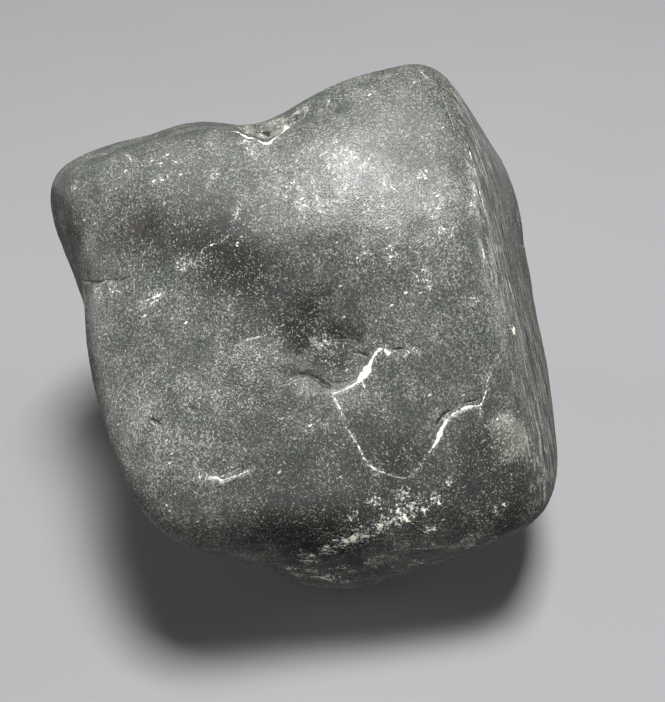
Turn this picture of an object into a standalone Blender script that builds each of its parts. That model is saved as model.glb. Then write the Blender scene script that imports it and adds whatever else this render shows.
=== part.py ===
"""A dinosaur gastrolith: one fist-sized stomach stone, worn to a soft polyhedron.

The stone is built around its heart, a point inside it. Every point of its skin lies on a ray
from the heart, at a distance that three things decide in turn: worn faces with rounded edges,
broad swellings and hollows, and uneven walled breaks where flakes have come off.
Directions and places are given as (right, back, up), seen from the side with the long crack.
"""

import bmesh
import bpy
import numpy as np
from mathutils import Vector

MM = 0.001
NAME = "gastrolith"
STONE_COLOUR = (0.105, 0.110, 0.102, 1.0)
STONE_ROUGHNESS = 0.42

# Each worn face: the direction it looks in, and its distance from the heart in mm.
WORN_FACES = {
    "crown": ((0.02, -0.31, 0.95), 34.6),
    "shoulder": ((0.04, -0.52, 0.85), 32.4),
    "belly": ((-0.27, -0.69, 0.67), 32.6),
    "front_right": ((0.20, -0.79, 0.58), 30.8),
    "front_low": ((0.05, -0.96, -0.28), 39.6),
    "left": ((-0.98, -0.12, 0.05), 37.0),
    "left_low": ((-0.86, -0.34, -0.36), 33.2),
    "bottom_left": ((-0.32, -0.67, -0.67), 39.6),
    "bottom_right": ((0.49, -0.62, -0.62), 45.0),
    "right": ((0.92, -0.10, 0.36), 36.0),
    "right_low": ((0.88, 0.20, -0.42), 43.0),
    "peak_right": ((0.80, 0.42, 0.42), 42.4),
    "top_left": ((-0.22, 0.69, 0.69), 40.2),
    "top_right": ((-0.36, 0.66, 0.66), 35.0),
    "back_left": ((-0.74, 0.62, -0.26), 42.5),
    "back_right": ((0.66, 0.74, -0.14), 46.0),
    "back": ((0.08, 0.99, -0.10), 40.5),
    "back_low": ((-0.10, 0.72, -0.69), 40.5),
    "under_front": ((0.06, -0.32, -0.95), 39.8),
    "under_right": ((0.35, 0.12, -0.93), 39.2),
    "under_left": ((-0.33, 0.20, -0.92), 38.9),
}
EDGE_SHARPNESS = 14

# Each swelling (+) or hollow (-): the two ends of its core line, its reach above and below
# that line, and its height, in mm.
SWELLINGS = {
    "knob": ((-41, 9, 20), (-41, 9, 21), 12, 12, 5.8),
    "top_left_ridge": ((-28, 19, 25), (-20, 21, 27), 10, 10, 4.6),
    "peak": ((20, 29, 32), (20, 29, 32), 12, 12, 0.4),
    "top_dip": ((-6, 38, 13), (-8, 14, 37), 9, 9, -2.6),
    "right_corner": ((34, 19, 19), (34, 19, 19), 10, 10, 2.0),
    "bottom_corner": ((5, -30, -30), (5, -30, -30), 10, 10, 2.6),
    "belly_bulge": ((-20, -34, 3), (-20, -34, 3), 12, 12, 2.4),
    "valley": ((-26, -5, 25), (0, -19, 21), 8, 19, -3.2),
    "bowl": ((1, -20, 20), (1, -20, 20), 7, 11, -1.8),
    "right_hollow": ((40, 12, -6), (36, 20, -14), 12, 12, -1.0),
    "back_hollow": ((-16, 36, 4), (8, 40, -6), 14, 14, -3.0),
    "back_swell": ((26, 34, 4), (22, 34, -14), 12, 12, 1.6),
    "left_hollow": ((-36, 4, -10), (-30, 16, -18), 12, 12, -2.0),
}

# Each break where a flake came off: a middle, and its walls as the direction each faces
# and how far beneath the middle it lies, in mm.
BREAKS = {
    "scar": ((6.0, -22.3, 14.7), [
        ((0.02, -0.59, 0.81), 0.7),
        ((0.14, -0.97, 0.10), 2.6),
        ((0.70, -0.60, 0.40), 4.8),
        ((-0.62, -0.70, 0.36), 4.9),
        ((-0.05, -0.25, 0.96), 1.9),
    ]),
    "notch": ((-5.4, 6.0, 36.3), [
        ((0.24, 0.42, 0.88), 1.8),
        ((-0.38, 0.29, 0.88), 1.5),
        ((0.05, -0.88, 0.47), 2.6),
    ]),
    "left_ledge": ((-29.4, -10.2, 22.4), [
        ((-0.50, -0.66, 0.56), 1.0),
        ((-0.15, -0.15, 0.98), 1.1),
    ]),
    "back_chip": ((-16.9, 33.8, -3.4), [
        ((-0.54, 0.81, 0.22), 0.7),
        ((0.10, 0.90, -0.42), 2.4),
    ]),
    "right_chip": ((29.5, 29.5, -19.1), [
        ((0.80, 0.56, -0.22), 1.0),
        ((0.50, 0.30, 0.80), 4.0),
    ]),
}
RIM_ROUNDING = 0.15 * MM
# The waves that make the breaks uneven: how many a radian, and how far each turns a direction.
UNEVENNESS = ((4.5, 0.012), (9.0, 0.003))

RESTING_HEIGHT = -37.2 * MM

# How finely the skin is laid out.
SPHERE_DIVISIONS = 4
REFINING_PASSES = 6
SKIN_TOLERANCE = 0.06 * MM
SHORTEST_EDGE = 0.7 * MM

GRAZING = 1e-6
TINY = 1e-9
FAR_OUT = 80 * MM


def unit_rows(rows):
    """The rows, each scaled to length one."""
    rows = np.asarray(rows, dtype=float)
    return rows / np.linalg.norm(rows, axis=1, keepdims=True)


def worn_radius(directions):
    """Distance from the heart to the worn faces, blended so that their edges are rounded."""
    looks = unit_rows([look for look, _ in WORN_FACES.values()])
    distances = np.array([distance for _, distance in WORN_FACES.values()]) * MM
    nearness = np.clip(directions @ looks.T, 0.0, None) / distances
    return (nearness**EDGE_SHARPNESS).sum(axis=1) ** (-1.0 / EDGE_SHARPNESS)


def offset_from_line(points, start, end):
    """The shortest step to each point from the straight line between start and end."""
    span = end - start
    length_squared = max(float(span @ span), TINY**2)
    along = np.clip((points - start) @ span / length_squared, 0.0, 1.0)
    return points - start - along[:, None] * span


def swelling_height(points):
    """How far the swellings and hollows lift each point away from the heart."""
    height = np.zeros(len(points))
    for start, end, reach_up, reach_down, rise in SWELLINGS.values():
        offset = offset_from_line(points, np.array(start) * MM, np.array(end) * MM)
        away = np.linalg.norm(offset, axis=1)
        upper_share = 0.5 + 0.5 * offset[:, 2] / np.maximum(away, TINY)
        reach = (reach_down + (reach_up - reach_down) * upper_share) * MM
        height += rise * MM * np.exp(-((away / reach) ** 2))
    return height


def nudged(directions):
    """The directions, each turned a little aside by crossing waves."""
    aside = np.zeros_like(directions)
    for waves, size in UNEVENNESS:
        phase = 2 * np.pi * waves * directions
        aside += size * np.sin(phase[:, [1, 2, 0]] + np.cos(phase[:, [2, 0, 1]]))
    return unit_rows(directions + aside)


def softly_larger(first, second):
    """The larger of two lengths, with the corner between them rounded."""
    return RIM_ROUNDING * np.logaddexp(first / RIM_ROUNDING, second / RIM_ROUNDING)


def broken_radius(directions, radius):
    """The radius, cut back wherever a ray passes beyond every wall of a break."""
    directions = nudged(directions)
    for middle, walls in BREAKS.values():
        cut = np.zeros(len(directions))
        for look, depth in walls:
            look = unit_rows([look])[0]
            towards = np.maximum(directions @ look, GRAZING)
            reached = (look @ np.array(middle) - depth) * MM / towards
            cut = softly_larger(cut, np.minimum(reached, FAR_OUT))
        radius = -softly_larger(-radius, -cut)
    return radius


def stone_points(directions):
    """The point of the stone's skin in each direction from its heart."""
    directions = unit_rows(directions)
    radius = worn_radius(directions)
    radius = radius + swelling_height(directions * radius[:, None])
    radius = broken_radius(directions, radius)
    return directions * radius[:, None]


def clear_scene():
    """Leave the scene with no objects."""
    for old in list(bpy.data.objects):
        bpy.data.objects.remove(old, do_unlink=True)


def collection_for(name):
    """A new collection in the scene."""
    collection = bpy.data.collections.new(name)
    bpy.context.scene.collection.children.link(collection)
    return collection


def stone_material():
    """Dark grey-green worn stone with a soft polish."""
    material = bpy.data.materials.new("worn_stone")
    material.use_nodes = True
    shader = material.node_tree.nodes["Principled BSDF"]
    shader.inputs["Base Color"].default_value = STONE_COLOUR
    shader.inputs["Roughness"].default_value = STONE_ROUGHNESS
    shader.inputs["Metallic"].default_value = 0.0
    return material


def press_to_skin(mesh):
    """Move each vertex along its ray from the heart until it lies on the stone's skin."""
    directions = [vertex.co[:] for vertex in mesh.verts]
    for vertex, point in zip(mesh.verts, stone_points(directions)):
        vertex.co = Vector(point)


def edges_off_skin(mesh):
    """The edges whose middle lies too far from the skin, apart from those already short."""
    edges = [edge for edge in mesh.edges if edge.calc_length() > 2 * SHORTEST_EDGE]
    middles = np.array([((edge.verts[0].co + edge.verts[1].co) / 2)[:] for edge in edges])
    gaps = np.linalg.norm(stone_points(middles) - middles, axis=1)
    return [edge for edge, gap in zip(edges, gaps) if gap > SKIN_TOLERANCE]


def refine(mesh):
    """Halve the edges that stray from the skin, and lay the new vertices on it."""
    bmesh.ops.subdivide_edges(mesh, edges=edges_off_skin(mesh), cuts=1)
    bmesh.ops.triangulate(mesh, faces=mesh.faces[:])
    press_to_skin(mesh)


def cut_resting_flat(mesh):
    """Cut the stone level at its resting height, and close the cut with one flat face."""
    geometry = mesh.verts[:] + mesh.edges[:] + mesh.faces[:]
    level = Vector((0.0, 0.0, RESTING_HEIGHT))
    up = Vector((0.0, 0.0, 1.0))
    bmesh.ops.bisect_plane(mesh, geom=geometry, plane_co=level, plane_no=up, clear_inner=True)
    rim = [edge for edge in mesh.edges if edge.is_boundary]
    bmesh.ops.holes_fill(mesh, edges=rim, sides=0)


def stand_on_origin(mesh):
    """Move the stone so that the middle of its box is over the origin and it rests at zero."""
    places = np.array([vertex.co[:] for vertex in mesh.verts])
    low, high = places.min(axis=0), places.max(axis=0)
    shift = Vector((-(low[0] + high[0]) / 2, -(low[1] + high[1]) / 2, -low[2]))
    bmesh.ops.translate(mesh, verts=mesh.verts[:], vec=shift)
    return shift


def build_stone(collection):
    """The whole stone as one closed object."""
    mesh = bmesh.new()
    bmesh.ops.create_icosphere(mesh, subdivisions=SPHERE_DIVISIONS, radius=1.0)
    press_to_skin(mesh)
    for _ in range(REFINING_PASSES):
        refine(mesh)
    cut_resting_flat(mesh)
    shift = stand_on_origin(mesh)
    bmesh.ops.recalc_face_normals(mesh, faces=mesh.faces[:])
    data = bpy.data.meshes.new(NAME)
    mesh.to_mesh(data)
    mesh.free()
    data.shade_smooth()
    data.materials.append(stone_material())
    stone = bpy.data.objects.new(NAME, data)
    collection.objects.link(stone)
    return stone, shift


def main():
    clear_scene()
    build_stone(collection_for(NAME))


if __name__ == "__main__":
    main()
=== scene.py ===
"""The looks of the gastrolith: its fine skin, veins, crust, finish, floor, light and camera.

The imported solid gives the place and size. The skin is laid out again at a much finer pitch by the
same rule as the solid: worn faces, swellings and hollows, and breaks. Cracks, pits and crust are
then raised or cut into it. Directions and places are given as (right, back, up) from the stone's
heart, seen from the side with the long crack, and lengths in mm unless a name says otherwise.
"""

import bmesh
import bpy
import numpy as np
from mathutils import Matrix, Vector, noise
from mathutils.bvhtree import BVHTree
from mathutils.kdtree import KDTree

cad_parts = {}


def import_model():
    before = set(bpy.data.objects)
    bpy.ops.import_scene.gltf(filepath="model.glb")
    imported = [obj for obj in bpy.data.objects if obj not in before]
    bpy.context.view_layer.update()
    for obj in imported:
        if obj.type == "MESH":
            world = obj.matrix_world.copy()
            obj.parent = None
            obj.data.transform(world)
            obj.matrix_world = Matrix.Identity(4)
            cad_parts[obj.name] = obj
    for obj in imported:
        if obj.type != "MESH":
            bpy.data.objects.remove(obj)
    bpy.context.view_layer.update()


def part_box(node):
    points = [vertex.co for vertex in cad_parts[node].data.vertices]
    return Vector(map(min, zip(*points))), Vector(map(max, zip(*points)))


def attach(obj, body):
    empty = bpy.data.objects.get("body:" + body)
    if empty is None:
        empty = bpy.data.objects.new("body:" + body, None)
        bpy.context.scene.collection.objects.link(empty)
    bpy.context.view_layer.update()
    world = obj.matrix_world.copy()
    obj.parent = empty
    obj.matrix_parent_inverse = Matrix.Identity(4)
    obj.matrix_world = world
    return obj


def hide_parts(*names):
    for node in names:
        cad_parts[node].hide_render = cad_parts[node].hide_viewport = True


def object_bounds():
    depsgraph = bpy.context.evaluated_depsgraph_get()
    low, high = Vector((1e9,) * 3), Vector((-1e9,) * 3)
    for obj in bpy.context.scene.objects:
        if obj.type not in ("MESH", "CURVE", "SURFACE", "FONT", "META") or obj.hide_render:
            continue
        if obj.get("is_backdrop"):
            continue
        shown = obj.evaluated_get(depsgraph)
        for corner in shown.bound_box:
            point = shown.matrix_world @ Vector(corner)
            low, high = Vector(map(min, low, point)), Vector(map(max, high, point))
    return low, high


NODE = "gastrolith"
MM = 0.001

# The stone's form: each worn face looks in a direction and lies at a distance from the heart.
WORN_FACES = {
    "crown": ((0.02, -0.31, 0.95), 34.6),
    "shoulder": ((0.04, -0.52, 0.85), 32.4),
    "belly": ((-0.27, -0.69, 0.67), 32.6),
    "front_right": ((0.20, -0.79, 0.58), 30.8),
    "front_low": ((0.05, -0.96, -0.28), 39.6),
    "left": ((-0.98, -0.12, 0.05), 37.0),
    "left_low": ((-0.86, -0.34, -0.36), 33.2),
    "bottom_left": ((-0.32, -0.67, -0.67), 39.6),
    "bottom_right": ((0.49, -0.62, -0.62), 45.0),
    "right": ((0.92, -0.10, 0.36), 36.0),
    "right_low": ((0.88, 0.20, -0.42), 43.0),
    "peak_right": ((0.80, 0.42, 0.42), 42.4),
    "top_left": ((-0.22, 0.69, 0.69), 40.2),
    "top_right": ((-0.36, 0.66, 0.66), 35.0),
    "back_left": ((-0.74, 0.62, -0.26), 42.5),
    "back_right": ((0.66, 0.74, -0.14), 46.0),
    "back": ((0.08, 0.99, -0.10), 40.5),
    "back_low": ((-0.10, 0.72, -0.69), 40.5),
    "under_front": ((0.06, -0.32, -0.95), 39.8),
    "under_right": ((0.35, 0.12, -0.93), 39.2),
    "under_left": ((-0.33, 0.20, -0.92), 38.9),
}
EDGE_SHARPNESS = 14

# Each swelling (+) or hollow (-): the two ends of its core line, its reach above and below
# that line, and its height.
SWELLINGS = {
    "knob": ((-41, 9, 20), (-41, 9, 21), 12, 12, 5.8),
    "top_left_ridge": ((-28, 19, 25), (-20, 21, 27), 10, 10, 4.6),
    "peak": ((20, 29, 32), (20, 29, 32), 12, 12, 0.4),
    "top_dip": ((-6, 38, 13), (-8, 14, 37), 9, 9, -2.6),
    "right_corner": ((34, 19, 19), (34, 19, 19), 10, 10, 2.0),
    "bottom_corner": ((5, -30, -30), (5, -30, -30), 10, 10, 2.6),
    "belly_bulge": ((-20, -34, 3), (-20, -34, 3), 12, 12, 2.4),
    "valley": ((-26, -5, 25), (0, -19, 21), 8, 19, -3.2),
    "bowl": ((1, -20, 20), (1, -20, 20), 7, 11, -1.8),
    "right_hollow": ((40, 12, -6), (36, 20, -14), 12, 12, -1.0),
    "back_hollow": ((-16, 36, 4), (8, 40, -6), 14, 14, -3.0),
    "back_swell": ((26, 34, 4), (22, 34, -14), 12, 12, 1.6),
    "left_hollow": ((-36, 4, -10), (-30, 16, -18), 12, 12, -2.0),
    "crown_bulge": ((5.3, 1.0, 34.9), (5.3, 1.0, 34.9), 8, 8, 0.9),
    "notch_run": ((-6.5, 4, 36), (-6, -5, 32.6), 6, 6, -0.5),
    "scar_hollow": ((0.5, -18.4, 17.2), (5.5, -19.8, 16.2), 6, 5, -1.5),
}

# Each break where a flake came off: a middle, and its walls as the direction each faces
# and how far beneath the middle it lies.
BREAKS = {
    "notch": ((-5.4, 6.0, 36.3), [
        ((0.24, 0.42, 0.88), 1.8),
        ((-0.38, 0.29, 0.88), 1.5),
        ((0.05, -0.88, 0.47), 2.6),
    ]),
    "back_chip": ((-16.9, 33.8, -3.4), [
        ((-0.54, 0.81, 0.22), 0.7),
        ((0.10, 0.90, -0.42), 2.4),
    ]),
    "right_chip": ((29.5, 29.5, -19.1), [
        ((0.80, 0.56, -0.22), 1.0),
        ((0.50, 0.30, 0.80), 4.0),
    ]),
}
RIM_ROUNDING = 0.15
UNEVENNESS = ((4.5, 0.012), (9.0, 0.003))
RESTING_HEIGHT = -37.2
GRAZING = 1e-6
TINY = 1e-9
FAR_OUT = 80.0

# The photo's view, in pixels and mm: the camera looks down at the heart's surroundings.
IMAGE_WIDTH = 665
IMAGE_HEIGHT = 702
FOCAL_PIXELS = 1250.0
VIEW_ELEVATION = np.radians(45.0)
VIEW_DISTANCE = 208.0
VIEW_OFFSET_RIGHT = 4.2
VIEW_OFFSET_UP = -3.5
SENSOR_MM = 36.0

# How finely the skin is laid out: each pass halves the edges that are longer than this and lie
# this near a line, and those near a break's rim.
SPHERE_DIVISIONS = 6
LINE_PASSES = ((0.36, 0.60), (0.26, 0.42), (0.17, 0.28))
RIM_MARGIN = 0.45
RIM_EDGE = 0.40

# Folds sharper than this are smoothed, in so many passes.
FOLD_COSINE = np.cos(np.radians(65.0))
FOLD_PASSES = 10

# Soft lumps all over, on broken rock and under the crust: their size and how far they stand proud.
LUMPS = ((11.0, 0.30), (5.0, 0.12), (2.2, 0.06), (1.0, 0.025))
BROKEN_LUMPS = (0.9, 0.18)
CRUST_LUMPS = (0.55, 0.20)

# Pale veins, by name: how far the side above is lower (-), and the route in the photo's pixels
# with the vein's half width at each point, in mm.
SEEN_VEINS = {
    "scar_vein": (-0.12, [
        (333, 394, 0.14), (340, 391, 0.19), (347, 388, 0.15), (355, 384, 0.22), (360, 380, 0.6),
        (365, 374, 0.95), (368, 368, 0.8), (371, 362, 0.42), (373, 357, 0.18), (376, 353, 0.28),
        (379, 350, 0.3), (382, 349, 0.12),
    ]),
    "scar_spur": (0.0, [(361, 381, 0.16), (364, 386, 0.13), (366, 392, 0.05)]),
    "scar_tip": (0.0, [(385, 350, 0.18), (388, 354, 0.3), (391, 351, 0.14)]),
    "long_left": (-0.05, [
        (333, 396, 0.16), (337, 404, 0.14), (341, 412, 0.17), (344, 419, 0.12), (347, 428, 0.16),
        (352, 437, 0.12), (356, 443, 0.14), (360, 450, 0.22), (364, 458, 0.14), (370, 465, 0.17),
        (376, 471, 0.12),
    ]),
    "long_floor": (0.0, [
        (376, 471, 0.12), (385, 473, 0.1), (394, 476, 0.12), (403, 478, 0.12), (409, 478, 0.1),
    ]),
    "long_right": (-0.22, [
        (409, 478, 0.09), (414, 473, 0.09), (419, 466, 0.1), (424, 460, 0.12), (428, 455, 0.1),
        (432, 449, 0.14), (435, 444, 0.22), (438, 439, 0.34), (440, 433, 0.44), (443, 427, 0.4),
        (446, 422, 0.24),
    ]),
    "long_step": (-0.30, [
        (446, 422, 0.24), (450, 417, 0.18), (456, 413, 0.13), (462, 410, 0.18), (467, 408, 0.25),
        (471, 407, 0.2), (476, 406, 0.12),
    ]),
    "long_end": (0.0, [
        (476, 406, 0.13), (481, 405, 0.15), (484, 399, 0.14), (486, 391, 0.12), (487, 383, 0.1),
        (489, 377, 0.12), (491, 372, 0.06),
    ]),
    "long_spur": (0.0, [(480, 405, 0.1), (481, 411, 0.12), (480, 418, 0.06)]),
    "small": (-0.34, [
        (205, 478, 0.05), (212, 477, 0.15), (217, 478, 0.18), (221, 481, 0.22), (225, 480, 0.12),
        (232, 478, 0.14), (240, 475, 0.11), (249, 471, 0.13), (255, 467, 0.06),
    ]),
    "small_tick": (0.0, [(199, 472, 0.1), (200, 478, 0.1)]),
    "faint_low": (-0.10, [(400, 550, 0.03), (430, 549, 0.06), (450, 548, 0.07), (470, 545, 0.05)]),
    "edge_streak": (-0.12, [(309, 577, 0.08), (318, 577, 0.16), (326, 579, 0.2), (332, 581, 0.1)]),
    "notch_rim": (0.0, [
        (232, 131, 0.08), (238, 132, 0.22), (242, 134, 0.34), (247, 137, 0.4), (252, 138, 0.2),
        (257, 140, 0.12), (262, 143, 0.26), (266, 144, 0.4), (270, 143, 0.46), (274, 139, 0.26),
        (278, 136, 0.14), (282, 132, 0.3), (286, 128, 0.36), (290, 125, 0.14), (295, 121, 0.1),
        (300, 118, 0.16), (303, 116, 0.05),
    ]),
    "notch_rim_low": (0.0, [(240, 137, 0.06), (247, 141, 0.16), (254, 143, 0.06)]),
    "notch_inner": (0.0, [(252, 131, 0.07), (260, 128, 0.13), (268, 126, 0.14), (278, 124, 0.06)]),
    "notch_cream": (0.0, [(260, 137, 0.06), (268, 132, 0.16), (276, 129, 0.14), (282, 126, 0.06)]),
    "ridge_a": (0.0, [(466, 142, 0.05), (471, 156, 0.17), (476, 172, 0.05)]),
    "ridge_b": (0.0, [(486, 156, 0.05), (489, 166, 0.24), (493, 178, 0.07)]),
    "ridge_c": (0.0, [(478, 187, 0.07), (482, 200, 0.24), (485, 214, 0.07)]),
    "ridge_d": (0.0, [(496, 236, 0.05), (500, 250, 0.2), (503, 262, 0.05)]),
    "ridge_e": (0.0, [(505, 268, 0.05), (509, 284, 0.22), (513, 300, 0.07)]),
    "ridge_f": (0.0, [(480, 240, 0.05), (483, 252, 0.17), (485, 262, 0.05)]),
    "ridge_dash": (0.0, [(420, 71, 0.08), (424, 75, 0.15), (428, 80, 0.06)]),
    "upper_dash": (0.0, [(124, 152, 0.1), (129, 157, 0.18), (133, 161, 0.08)]),
    "squiggle_upper": (0.0, [
        (215, 172, 0.05), (212, 175, 0.11), (213, 178, 0.06), (209, 181, 0.1), (208, 184, 0.05),
    ]),
    "squiggle_right": (0.0, [
        (240, 205, 0.09), (238, 212, 0.1), (236, 218, 0.07), (233, 222, 0.06),
    ]),
    "squiggle_low": (0.0, [
        (233, 229, 0.05), (228, 236, 0.09), (224, 241, 0.07), (217, 244, 0.09), (210, 246, 0.07),
        (203, 251, 0.05), (197, 259, 0.05),
    ]),
    "splash": (0.0, [
        (142, 303, 0.09), (148, 300, 0.16), (153, 299, 0.1), (159, 296, 0.14), (165, 291, 0.08),
    ]),
    "splash_arm": (0.0, [(155, 301, 0.1), (150, 306, 0.09), (144, 309, 0.07)]),
    "foot_left": (0.0, [(380, 181, 0.1), (386, 186, 0.2), (389, 192, 0.1)]),
    "foot_right": (0.0, [(384, 178, 0.1), (390, 186, 0.17), (397, 191, 0.08)]),
}
# Open cracks with painted shadow in them: groove depth, how far the side above it is lower (-), and
# the route.
SEEN_GAPS = {
    "left_ledge": (0.18, -0.30, [
        (80, 281, 0.08), (90, 282, 0.11), (98, 282, 0.08), (104, 280, 0.05), (112, 279, 0.09),
        (120, 280, 0.05), (127, 277, 0.07), (134, 275, 0.03),
    ]),
    "scar_arc": (0.06, -0.95, [
        (296, 357, 0.0), (304, 350, 0.0), (314, 345, 0.0), (325, 341, 0.0), (335, 340, 0.0),
        (345, 340, 0.0), (356, 343, 0.0), (366, 346, 0.0),
    ]),
    "scar_lip": (0.0, -0.55, [
        (283, 385, 0.0), (293, 378, 0.0), (303, 375, 0.0), (313, 376, 0.0), (322, 384, 0.0),
        (331, 393, 0.0),
    ]),
    "scar_apex": (0.20, 0.0, [
        (351, 352, 0.02), (358, 353, 0.12), (364, 355, 0.2), (368, 357, 0.08),
    ]),
    "scar_dash": (0.14, 0.0, [(303, 371, 0.02), (310, 372, 0.12), (318, 373, 0.02)]),
    "scar_floor": (0.14, -0.10, [
        (325, 379, 0.02), (333, 382, 0.1), (341, 382, 0.08), (352, 381, 0.03),
    ]),
    "right_apex": (0.22, 0.0, [(391, 349, 0.06), (397, 349, 0.2), (404, 348, 0.1)]),
    "step_gap": (0.35, 0.0, [
        (436, 427, 0.05), (439, 421, 0.22), (443, 416, 0.32), (447, 413, 0.16), (451, 410, 0.05),
    ]),
    "step_right": (0.14, 0.0, [
        (454, 407, 0.03), (460, 404, 0.09), (467, 403, 0.06), (475, 401, 0.09), (481, 398, 0.03),
    ]),
    "small_gap": (0.08, -0.10, [
        (219, 475, 0.0), (226, 474, 0.03), (235, 470, 0.04), (244, 466, 0.0),
    ]),
    "pit": (0.35, 0.0, [(151, 418, 0.18), (156, 421, 0.3), (161, 424, 0.1)]),
    "short": (0.18, -0.08, [(188, 405, 0.06), (192, 409, 0.15), (196, 412, 0.05)]),
    "brow": (0.05, -0.08, [(235, 345, 0.03), (248, 338, 0.08), (260, 335, 0.03)]),
    "ridge_line": (0.12, 0.0, [
        (438, 88, 0.04), (444, 104, 0.1), (450, 120, 0.1), (455, 135, 0.04),
    ]),
    "notch_far": (0.20, 0.0, [
        (240, 128, 0.14), (248, 127, 0.2), (258, 125, 0.2), (268, 121, 0.14), (278, 117, 0.08),
    ]),
    "notch_low": (0.20, 0.0, [
        (250, 132, 0.16), (260, 133, 0.26), (268, 134, 0.28), (274, 131, 0.18),
    ]),
}
# The same for the sides that the photo doesn't show, in degrees: round from the right, and up.
HIDDEN_VEINS = {
    "back_long": (-0.14, [
        (118, 38, 0.08), (112, 26, 0.16), (115, 14, 0.14), (106, 4, 0.22), (108, -10, 0.15),
        (100, -20, 0.06),
    ]),
    "back_fork": (0.0, [(115, 14, 0.1), (124, 8, 0.12), (131, -2, 0.05)]),
    "back_blot": (0.0, [(104, -6, 0.2), (108, -9, 0.55), (110, -13, 0.25)]),
    "right_fine": (-0.10, [(14, 16, 0.05), (22, 8, 0.11), (24, -4, 0.13), (33, -14, 0.05)]),
    "left_fine": (-0.16, [(190, 12, 0.05), (183, 2, 0.12), (178, -10, 0.1), (168, -18, 0.05)]),
    "under_fine": (0.0, [(60, -48, 0.05), (40, -56, 0.12), (15, -60, 0.05)]),
    "right_back": (0.0, [(52, 28, 0.04), (58, 20, 0.11), (60, 8, 0.08), (68, 2, 0.04)]),
}
HIDDEN_GAPS = {
    "back_gap": (0.12, -0.15, [
        (126, 22, 0.02), (132, 18, 0.06), (137, 17, 0.02), (141, 15, 0.05), (146, 12, 0.02),
    ]),
    "left_gap": (0.14, -0.12, [(200, -4, 0.03), (196, -12, 0.09), (198, -20, 0.03)]),
    "right_gap": (0.14, -0.10, [(4, -14, 0.03), (10, -18, 0.08), (18, -18, 0.03)]),
    "back_low_gap": (0.14, -0.10, [(80, -26, 0.03), (86, -30, 0.09), (94, -29, 0.03)]),
}

# How a line is followed: the spacing of its samples, the bends it makes (size and swing), the
# share of its half width that shows, how that swells and thins (size and amount), and the share
# of its length over which each end fades.
SAMPLE_PIXELS = 0.6
SAMPLE_DEGREES = 0.2
BENDS = ((0.8, 0.07), (2.5, 0.12))
AXIS_SHIFTS = (0.0, 31.4, 67.7)
WIDTH_SHARE = 0.70
WIDTH_SWELLS = (0.7, 0.7)
FADING_END = 0.15

# What a line does to the skin: how far its groove reaches past its half width, how far its step
# reaches away from it, where the step starts and ends across it, and how far off it is still felt.
GROOVE_MARGIN = 0.10
STEP_REACH = 1.8
STEP_FOOT = -0.35
STEP_HEAD = 0.05
FIELD_REACH = 0.8

# Sprays of short pale scratches: a pixel, a reach in mm and a count.
SEEN_SPRAYS = (
    ((329, 165), 0.8, 8), ((340, 150), 2.2, 14), ((360, 165), 2.6, 14), ((301, 204), 1.0, 10),
    ((322, 200), 1.8, 10), ((345, 190), 1.8, 8), ((385, 186), 0.9, 4), ((423, 174), 1.0, 8),
    ((436, 208), 1.2, 9), ((442, 230), 1.3, 8), ((368, 205), 1.8, 8), ((288, 185), 1.4, 6),
    ((152, 298), 1.1, 4), ((395, 250), 2.2, 6), ((365, 262), 2.2, 8), ((310, 180), 1.4, 6),
    ((477, 300), 0.8, 4), ((420, 270), 2.0, 6), ((240, 240), 1.2, 4), ((185, 262), 1.6, 6),
    ((415, 352), 1.4, 5), ((320, 345), 2.0, 6), ((470, 205), 0.8, 6), ((474, 190), 0.8, 5),
    ((100, 290), 1.4, 8), ((118, 287), 1.2, 6), ((160, 172), 2.2, 8), ((75, 185), 0.9, 6),
    ((255, 150), 2.0, 6), ((240, 142), 0.8, 5), ((300, 575), 0.9, 6), ((345, 582), 0.8, 4),
    ((400, 550), 2.2, 12), ((372, 562), 2.2, 12), ((430, 546), 1.6, 9), ((345, 568), 2.0, 9),
    ((415, 562), 1.6, 7), ((310, 552), 1.8, 7), ((470, 538), 1.6, 7), ((500, 510), 2.2, 7),
)
HIDDEN_SPRAYS = (
    ((128, 40), 2.4, 14), ((96, 44), 2.0, 10), ((60, 36), 2.4, 12), ((40, 5), 2.0, 8),
    ((150, -5), 2.0, 8), ((186, -8), 1.6, 8), ((84, 2), 2.0, 8), ((330, -50), 2.0, 8),
    ((20, 20), 1.4, 8), ((10, -5), 1.4, 7), ((110, -20), 1.6, 9), ((170, 20), 2.0, 8),
)
SCRATCH_LENGTHS = (0.35, 1.1)
SCRATCH_HALF_WIDTHS = (0.05, 0.11)
SCRATCH_SAMPLES = 9
MIDDLE_WIDTH = 1.2
TAPER = 2.0
SPRAY_SEED = 7

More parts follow.
